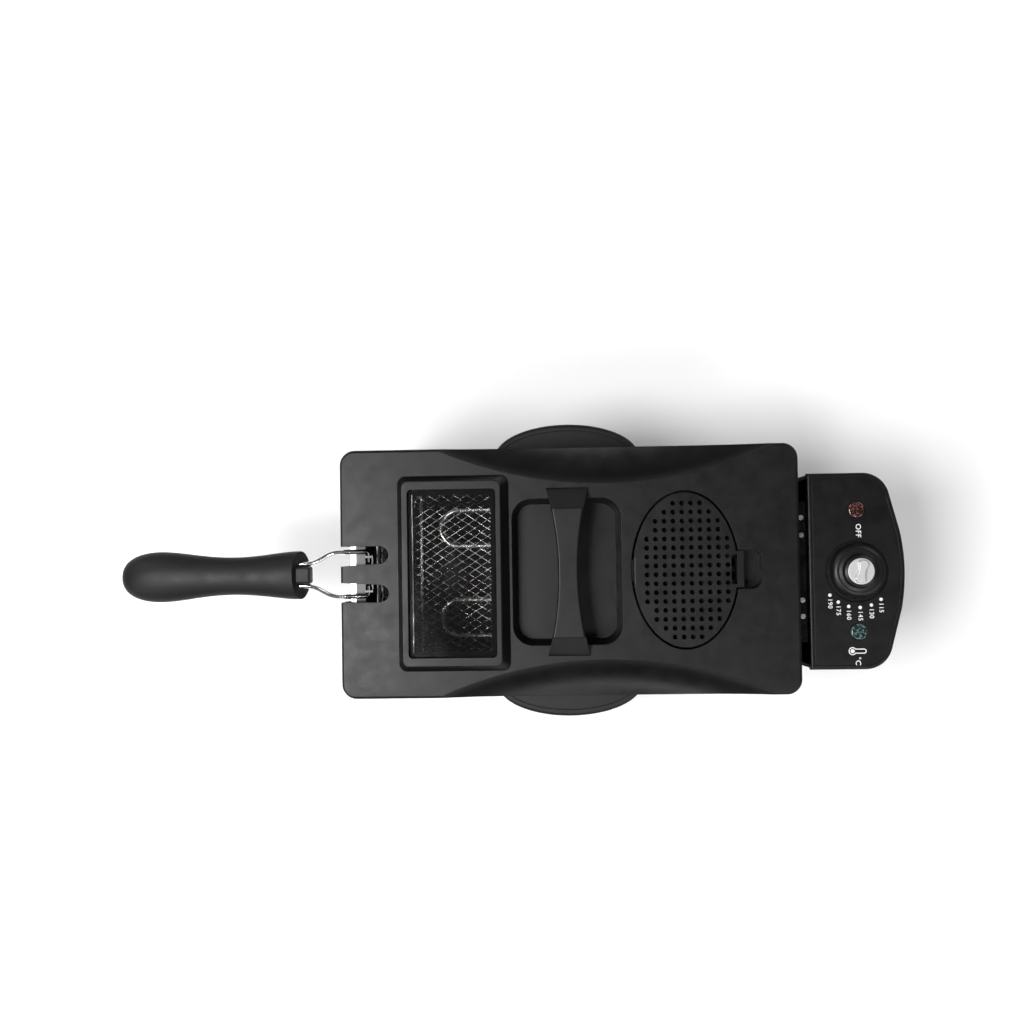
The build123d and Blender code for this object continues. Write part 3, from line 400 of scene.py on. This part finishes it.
def spun_metal(name, colour, centre):
    """Satin silver cap, turned in fine rings around centre."""
    paint = Paint(name)
    shift = paint.node("ShaderNodeVectorMath", operation="SUBTRACT")
    shift.inputs[1].default_value = centre
    paint.link(paint.place, shift.inputs[0])
    flat = paint.node("ShaderNodeVectorMath", operation="MULTIPLY")
    flat.inputs[1].default_value = (1, 1, 0)
    paint.link(shift.outputs["Vector"], flat.inputs[0])
    radius = paint.node("ShaderNodeVectorMath", operation="LENGTH")
    paint.link(flat.outputs["Vector"], radius.inputs[0])
    rings = paint.node("ShaderNodeTexNoise", noise_dimensions="1D")
    rings.inputs["Scale"].default_value = CAP_RINGS_PER_METRE
    paint.link(radius.outputs["Value"], rings.inputs["W"])
    paint.colour(paint.blend(rings.outputs["Fac"], tuple(c * 0.9 for c in colour), colour))
    paint.rough(paint.span(rings.outputs["Fac"], 0.3, 0.7, 0.3, 0.4))
    paint.bump(rings.outputs["Fac"], 0.000004)
    paint.set(Metallic=0.35)
    return paint.material


def felt(name, colour):
    """Loose filter felt."""
    paint = Paint(name)
    fibres = paint.noise(0.0012, detail=6, roughness=0.75, distort=1.5)
    paint.colour(paint.blend(paint.span(fibres, 0.3, 0.7), tuple(c * 0.6 for c in colour), colour))
    paint.rough(paint.span(fibres, 0.3, 0.7, 0.85, 1.0))
    paint.bump(fibres, 0.0006)
    paint.set(Sheen_Weight=0.3)
    return paint.material


def heated_steel(name):
    """Element tube, darkened and tinted by heat."""
    paint = Paint(name)
    tint = paint.noise(0.03, detail=3, scale=(0.4, 1, 1))
    paint.colour(paint.blend(paint.span(tint, 0.3, 0.7), (0.72, 0.70, 0.67), (0.95, 0.94, 0.93)))
    paint.rough(paint.span(paint.noise(0.004, detail=4), 0.3, 0.7, 0.16, 0.3))
    paint.bump(paint.noise(0.0012, detail=3), 0.00002)
    paint.set(Metallic=1.0)
    return paint.material


def print_ink(name, colour):
    """Printed marking: near-white ink, a little uneven."""
    paint = Paint(name)
    uneven = paint.noise(0.0008, detail=3)
    paint.colour(paint.blend(paint.span(uneven, 0.35, 0.6), tuple(c * 0.8 for c in colour), colour))
    paint.rough(paint.span(uneven, 0.3, 0.7, 0.45, 0.6))
    return paint.material


def make_materials():
    """One material for each slot of the record, and five more, by name."""
    return {
        "stainless_sheet": brushed_steel("stainless_sheet", (0.60, 0.60, 0.60), 0.3),
        "black_plastic": moulded_plastic("black_plastic", (0.0035, 0.0035, 0.0035), 0.44),
        "lid_plastic": moulded_plastic("lid_plastic", (0.0026, 0.0026, 0.0027), 0.38),
        "panel_plastic": moulded_plastic("panel_plastic", (0.0026, 0.0026, 0.0027), 0.36, dust=0.8),
        "handle_plastic": moulded_plastic("handle_plastic", (0.004, 0.004, 0.0041), 0.38, depth=0.00003),
        "grip_plastic": moulded_plastic(
            "grip_plastic", (0.006, 0.006, 0.006), 0.5, depth=0.00003, scratches=1.0
        ),
        "knob_plastic": moulded_plastic("knob_plastic", (0.004, 0.004, 0.004), 0.36, depth=0.00001),
        "inner_plastic": moulded_plastic("inner_plastic", (0.62, 0.58, 0.48), 0.5, dust=0.1, gloss=0.5),
        "foot_rubber": soft_rubber("foot_rubber", (0.03, 0.03, 0.03)),
        "gasket_rubber": soft_rubber("gasket_rubber", (0.001, 0.001, 0.001), 0.7, gloss=0.03),
        "zinc_screw": bright_wire("zinc_screw", (0.72, 0.72, 0.73), 0.28),
        "enamel": enamel("enamel", (0.008, 0.008, 0.009)),
        "basket_wire": bright_wire("basket_wire", (0.95, 0.95, 0.95), 0.26),
        # Its inner ends, inside the lid's slots, carry painted shade.
        "chrome_wire": bright_wire(
            "chrome_wire", (0.93, 0.93, 0.93), 0.14, stain=0.05, painted_shade_from=SLOT_MIDDLE_X
        ),
        "element_steel": heated_steel("element_steel"),
        # Lens colours: the lighter one is painted highlight in the facet middles, the darker one painted
        # shade at their rims.
        "red_lens": lamp_lens("red_lens", (0.16, 0.07, 0.06), (0.022, 0.006, 0.005)),
        "green_lens": lamp_lens("green_lens", (0.13, 0.20, 0.20), (0.008, 0.020, 0.020)),
        "red_button": moulded_plastic("red_button", (0.45, 0.02, 0.02), 0.35, dust=0.1),
        # Darker copies for nodes in the slots and the neck: painted shade.
        "slot_shade_wire": bright_wire("slot_shade_wire", (0.22, 0.22, 0.21), 0.38),
        "slot_shade_steel": brushed_steel("slot_shade_steel", (0.05, 0.05, 0.05), 0.25),
        "recess_shade_plastic": recess_shade_plastic("recess_shade_plastic"),
        "silver_cap": spun_metal("silver_cap", (0.62, 0.62, 0.62), (knob_x, knob_y, panel_z)),
        "clear_window": clear_window("clear_window"),
        "painted_edge_glint": painted_edge_glint("painted_edge_glint"),
        # Near-black felt, darker than its record slot: painted shade, so the filter holes look dark.
        "filter_felt": felt("filter_felt", (0.006, 0.006, 0.006)),
        "print_ink": print_ink("print_ink", (0.82, 0.82, 0.82)),
    }


# Nodes in the slots and the neck, made darker than their slot of the record says: painted shade for the
# shade that falls in the slots and the neck.
PAINTED_SHADE_NODES = {
    "neck_cover": "recess_shade_plastic", "handle_bracket": "slot_shade_steel", "basket_rim": "slot_shade_wire",
}


def paint_nodes(materials):
    """Give every CAD node the material of its slot, or the darker finish, painted shade, that the table
    above names.
    """
    for part in frame["record"]["subparts"]:
        node = nodes[part["node"]]
        node.data.materials.clear()
        finish = PAINTED_SHADE_NODES.get(part["node"], part["material_slot"])
        node.data.materials.append(materials[finish])


# ---- Mesh helpers -------------------------------------------------------------------------------
def add_piece(name, vertices, faces, material, body, smooth=True):
    """A new mesh piece that rides on a body."""
    mesh = bpy.data.meshes.new(name)
    mesh.from_pydata(vertices, [], faces)
    mesh.materials.append(material)
    for face in mesh.polygons:
        face.use_smooth = smooth
    mesh.update()
    piece = bpy.data.objects.new(name, mesh)
    bpy.context.scene.collection.objects.link(piece)
    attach(piece, body)
    return piece


def add_tube(vertices, faces, points, radius, sides):
    """Append a capped round tube along points to a list of vertices and faces."""
    start = len(vertices)
    side = None
    for i, point in enumerate(points):
        ahead = points[min(i + 1, len(points) - 1)] - points[max(i - 1, 0)]
        ahead.normalize()
        if side is None:
            helper = Vector((0, 0, 1)) if abs(ahead.z) < 0.9 else Vector((1, 0, 0))
            side = ahead.cross(helper).normalized()
        side = (side - ahead * side.dot(ahead)).normalized()
        other = ahead.cross(side)
        for k in range(sides):
            angle = 2 * math.pi * k / sides
            vertices.append(point + (side * math.cos(angle) + other * math.sin(angle)) * radius)
    for i in range(len(points) - 1):
        for k in range(sides):
            a = start + i * sides + k
            b = start + i * sides + (k + 1) % sides
            faces.append((a, b, b + sides, a + sides))
    faces.append(tuple(start + k for k in reversed(range(sides))))
    last = start + (len(points) - 1) * sides
    faces.append(tuple(last + k for k in range(sides)))


# ---- Basket -------------------------------------------------------------------------------------
MESH_PITCH = 5.8 * MM
MESH_ANGLE = math.radians(33)
MESH_WIRE = 0.31 * MM
WIRE_SIDES = 5
WIRE_SWAY = 0.9 * MESH_WIRE
SHEET_HALF = 0.6 * MM
BASKET_CORNER = 22 * MM
BASKET_BEND = 12 * MM


def rounded_path(half_x, half_y, corner):
    """Function from distance to (point, outward normal) around a rounded rectangle, and its length."""
    straight_x = 2 * (half_x - corner)
    straight_y = 2 * (half_y - corner)
    quarter = corner * math.pi / 2
    spans = [straight_y, quarter, straight_x, quarter, straight_y, quarter, straight_x, quarter]
    total = sum(spans)
    corners = [
        (half_x - corner, half_y - corner), (-half_x + corner, half_y - corner),
        (-half_x + corner, -half_y + corner), (half_x - corner, -half_y + corner),
    ]
    normals = [Vector((1, 0, 0)), Vector((0, 1, 0)), Vector((-1, 0, 0)), Vector((0, -1, 0))]

    def locate(distance):
        rest = distance % total
        for i, span in enumerate(spans):
            if rest <= span or i == len(spans) - 1:
                break
            rest -= span
        if i % 2 == 0:
            normal = normals[i // 2]
            along = Vector((-normal.y, normal.x, 0))
            half_span = span / 2
            centre = Vector((normal.x * half_x, normal.y * half_y, 0))
            return centre + along * (rest - half_span), normal
        turn = i // 2
        angle = turn * math.pi / 2 + rest / corner
        normal = Vector((math.cos(angle), math.sin(angle), 0))
        return Vector((*corners[turn], 0)) + normal * corner, normal

    return locate, total


def weave_lines(width, height, surface, inside, vertices, faces):
    """Two families of slanted wires over a width by height sheet, passing over and under each other."""
    step = MESH_PITCH / math.sin(2 * MESH_ANGLE)
    cos_a, sin_a = math.cos(MESH_ANGLE), math.sin(MESH_ANGLE)
    reach = int((width + height) / step) + 4
    for family in (0, 1):
        for i in range(-reach, reach):
            run = []
            for j in range(-reach, reach):
                first, second = (i, j) if family == 0 else (j, i)
                u = (first + second) * step * cos_a
                v = (second - first) * step * sin_a
                if 0 <= u <= width and 0 <= v <= height and inside(u, v):
                    over = 1 if (i + j) % 2 == family else -1
                    run.append(surface(u, v, over * WIRE_SWAY))
                elif run:
                    if len(run) > 1:
                        add_tube(vertices, faces, run, MESH_WIRE, WIRE_SIDES)
                    run = []
            if len(run) > 1:
                add_tube(vertices, faces, run, MESH_WIRE, WIRE_SIDES)


def make_basket(materials):
    """Woven wire basket: flat floor, and walls that bend up from it all round."""
    centre = (basket_low + basket_high) / 2
    half_x = (basket_high.x - basket_low.x) / 2 - SHEET_HALF
    half_y = (basket_high.y - basket_low.y) / 2 - SHEET_HALF
    floor_z = basket_low.z + SHEET_HALF
    vertices, faces = [], []
    locate, around = rounded_path(half_x, half_y, BASKET_CORNER)
    arc = BASKET_BEND * math.pi / 2
    wall = arc + (basket_high.z - 2 * SHEET_HALF - floor_z - BASKET_BEND)

    def wall_surface(u, v, lift):
        point, normal = locate(u)
        if v < arc:
            angle = v / BASKET_BEND
            inset = BASKET_BEND * (1 - math.sin(angle))
            rise = BASKET_BEND * (1 - math.cos(angle))
            outward = normal * math.sin(angle) - Vector((0, 0, math.cos(angle)))
        else:
            inset = 0.0
            rise = BASKET_BEND + v - arc
            outward = normal
        place = point - normal * inset + outward * lift
        return Vector((centre.x + place.x, centre.y + place.y, floor_z + rise + place.z))

    flat_x, flat_y = half_x - BASKET_BEND, half_y - BASKET_BEND
    flat_corner = BASKET_CORNER - BASKET_BEND

    def floor_surface(u, v, lift):
        return Vector((centre.x - flat_x + u, centre.y - flat_y + v, floor_z + lift))

    def on_floor(u, v):
        dx = max(abs(u - flat_x) - (flat_x - flat_corner), 0)
        dy = max(abs(v - flat_y) - (flat_y - flat_corner), 0)
        return math.hypot(dx, dy) <= flat_corner

    weave_lines(around, wall, wall_surface, lambda u, v: True, vertices, faces)
    weave_lines(2 * flat_x, 2 * flat_y, floor_surface, on_floor, vertices, faces)
    piece = add_piece(
        "basket_weave", vertices, faces, materials["basket_wire"], "basket"
    )
    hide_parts("basket_mesh")


# ---- Markings on the control panel --------------------------------------------------------------
INK = 0.03 * MM
# Degrees clockwise from OFF, seen from above.
DIAL_MARKS = {"115": 141.6, "130": 159.1, "145": 176.9, "160": 195.0, "175": 212.5, "190": 229.3}
DIAL_RADIUS = 27.0 * MM
DOT_RADIUS = 1.25 * MM
DISC_HOLE = 0.05 * MM
NUMBER_GAP = 2.4 * MM
NUMBER_SIZE = 4.6 * MM
SIGN_SIZE = 5.4 * MM
STROKE_OFFSET = 0.04 * MM
LETTER_SPACING = 1.12
# Places from the dial's centre.
OFF_X, OFF_Y = 1.2 * MM, 29.7 * MM
UNIT_X, UNIT_Y = -1.0 * MM, -63.2 * MM
BULB_X, BULB_Y = -4.8 * MM, -59.0 * MM
STEM_LENGTH = 8.4 * MM
STEM_RADIUS = 1.5 * MM
BULB_RADIUS = 2.6 * MM
BULB_FILL = 1.5 * MM
LINE_HALF = 0.33 * MM
STEM_STEPS = 8
BULB_STEPS = 18


def panel_text(name, words, x, y, materials, size=NUMBER_SIZE, align="LEFT"):
    """Printed words that read towards -Y, with their tops towards +X."""
    data = bpy.data.curves.new(name, "FONT")
    data.body = words
    data.size = size
    data.align_x = align
    data.align_y = "CENTER"
    data.extrude = INK / 2
    data.offset = STROKE_OFFSET
    data.space_character = LETTER_SPACING
    data.materials.append(materials["print_ink"])
    text = bpy.data.objects.new(name, data)
    text.location = (x, y, panel_z + INK)
    text.rotation_euler = (0, 0, -math.pi / 2)
    bpy.context.scene.collection.objects.link(text)
    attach(text, "control_unit")


def flat_outline(vertices, faces, inner, outer):
    """Append a thin raised band between two outlines with the same number of points."""
    start = len(vertices)
    count = len(inner)
    for z in (panel_z + INK * 0.2, panel_z + INK * 1.5):
        vertices += [Vector((x, y, z)) for x, y in inner]
        vertices += [Vector((x, y, z)) for x, y in outer]
    for i in range(count):
        j = (i + 1) % count
        a, b, c, d = start + i, start + j, start + count + j, start + count + i
        up = 2 * count
        faces.append((a + up, d + up, c + up, b + up))
        faces.append((a, b, c, d))
        faces.append((a, a + up, b + up, b))
        faces.append((d, c, c + up, d + up))


def circle_points(x, y, radius, count=28):
    """Points of a circle."""
    steps = [2 * math.pi * k / count for k in range(count)]
    return [(x + radius * math.cos(a), y + radius * math.sin(a)) for a in steps]


def disc(vertices, faces, x, y, radius):
    """Append a raised disc, as a band whose inner outline is almost a point."""
    flat_outline(vertices, faces, circle_points(x, y, DISC_HOLE), circle_points(x, y, radius))


def thermometer(grow):
    """Outline of the thermometer sign, grown by a distance: the stem's round end, then the bulb."""
    x, y = knob_x + BULB_X, knob_y + BULB_Y
    stem, bulb = STEM_RADIUS + grow, BULB_RADIUS + grow
    outline = []
    for k in range(STEM_STEPS + 1):
        a = math.pi / 2 - k * math.pi / STEM_STEPS
        outline.append((x + STEM_LENGTH + stem * math.cos(a), y + stem * math.sin(a)))
    join = math.asin(stem / bulb)
    for k in range(BULB_STEPS + 1):
        a = -join - k * (2 * math.pi - 2 * join) / BULB_STEPS
        outline.append((x + bulb * math.cos(a), y + bulb * math.sin(a)))
    return outline


def make_markings(materials):
    """Dial numbers with their dots, OFF, and the thermometer sign with its unit."""
    vertices, faces = [], []
    for words, degrees in DIAL_MARKS.items():
        angle = math.radians(degrees)
        x = knob_x + DIAL_RADIUS * math.sin(angle)
        y = knob_y + DIAL_RADIUS * math.cos(angle)
        disc(vertices, faces, x, y, DOT_RADIUS)
        panel_text("mark_" + words, words, x, y - NUMBER_GAP, materials)
    panel_text(
        "mark_off", "OFF", knob_x + OFF_X, knob_y + OFF_Y, materials, size=SIGN_SIZE, align="CENTER"
    )
    panel_text("mark_unit", "°C", knob_x + UNIT_X, knob_y + UNIT_Y, materials, size=SIGN_SIZE)
    flat_outline(vertices, faces, thermometer(-LINE_HALF), thermometer(LINE_HALF))
    disc(vertices, faces, knob_x + BULB_X, knob_y + BULB_Y, BULB_FILL)
    add_piece(
        "panel_marks", vertices, faces, materials["print_ink"], "control_unit", smooth=False
    )


# ---- Window edge: painted highlight -------------------------------------------------------------
EDGE_WIDTH = 0.7 * MM
EDGE_THICKNESS = 0.3 * MM
EDGE_RISE = 0.35 * MM
EDGE_DROP = 0.25 * MM
EDGE_INSET = 2.6 * MM
EDGE_ENDS = 3 * MM
EDGE_BOW = 0.12 * MM
EDGE_WAVER = 0.04 * MM
EDGE_ROWS = 40


def make_window_edge(materials):
    """A narrow, slightly bowed silver strip sloped towards the front, on the window's front edge: a painted
    highlight that stands in for the edge's glint.
    """
    low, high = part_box("window_pane")
    top = high.z + EDGE_RISE
    vertices, faces = [], []
    for i in range(EDGE_ROWS + 1):
        share = i / EDGE_ROWS
        y = low.y + EDGE_ENDS + share * (high.y - low.y - 2 * EDGE_ENDS)
        bow = EDGE_BOW * math.sin(math.pi * share) + EDGE_WAVER * rng.random()
        x = low.x + EDGE_INSET + bow
        far_x, front_top = x + EDGE_WIDTH, top - EDGE_DROP
        vertices += [
            Vector((x, y, front_top)), Vector((far_x, y, top)),
            Vector((far_x, y, top - EDGE_THICKNESS)), Vector((x, y, front_top - EDGE_THICKNESS)),
        ]
    for i in range(EDGE_ROWS):
        for k in range(4):
            a, b = 4 * i + k, 4 * i + (k + 1) % 4
            faces.append((a, b, b + 4, a + 4))
    faces.append((3, 2, 1, 0))
    faces.append(tuple(4 * EDGE_ROWS + k for k in range(4)))
    add_piece(
        "window_glint_strip", vertices, faces, materials["painted_edge_glint"], "lid", smooth=False
    )


# ---- The scene ----------------------------------------------------------------------------------
make_camera()
make_studio()
materials = make_materials()
paint_nodes(materials)
make_basket(materials)
make_markings(materials)
make_window_edge(materials)
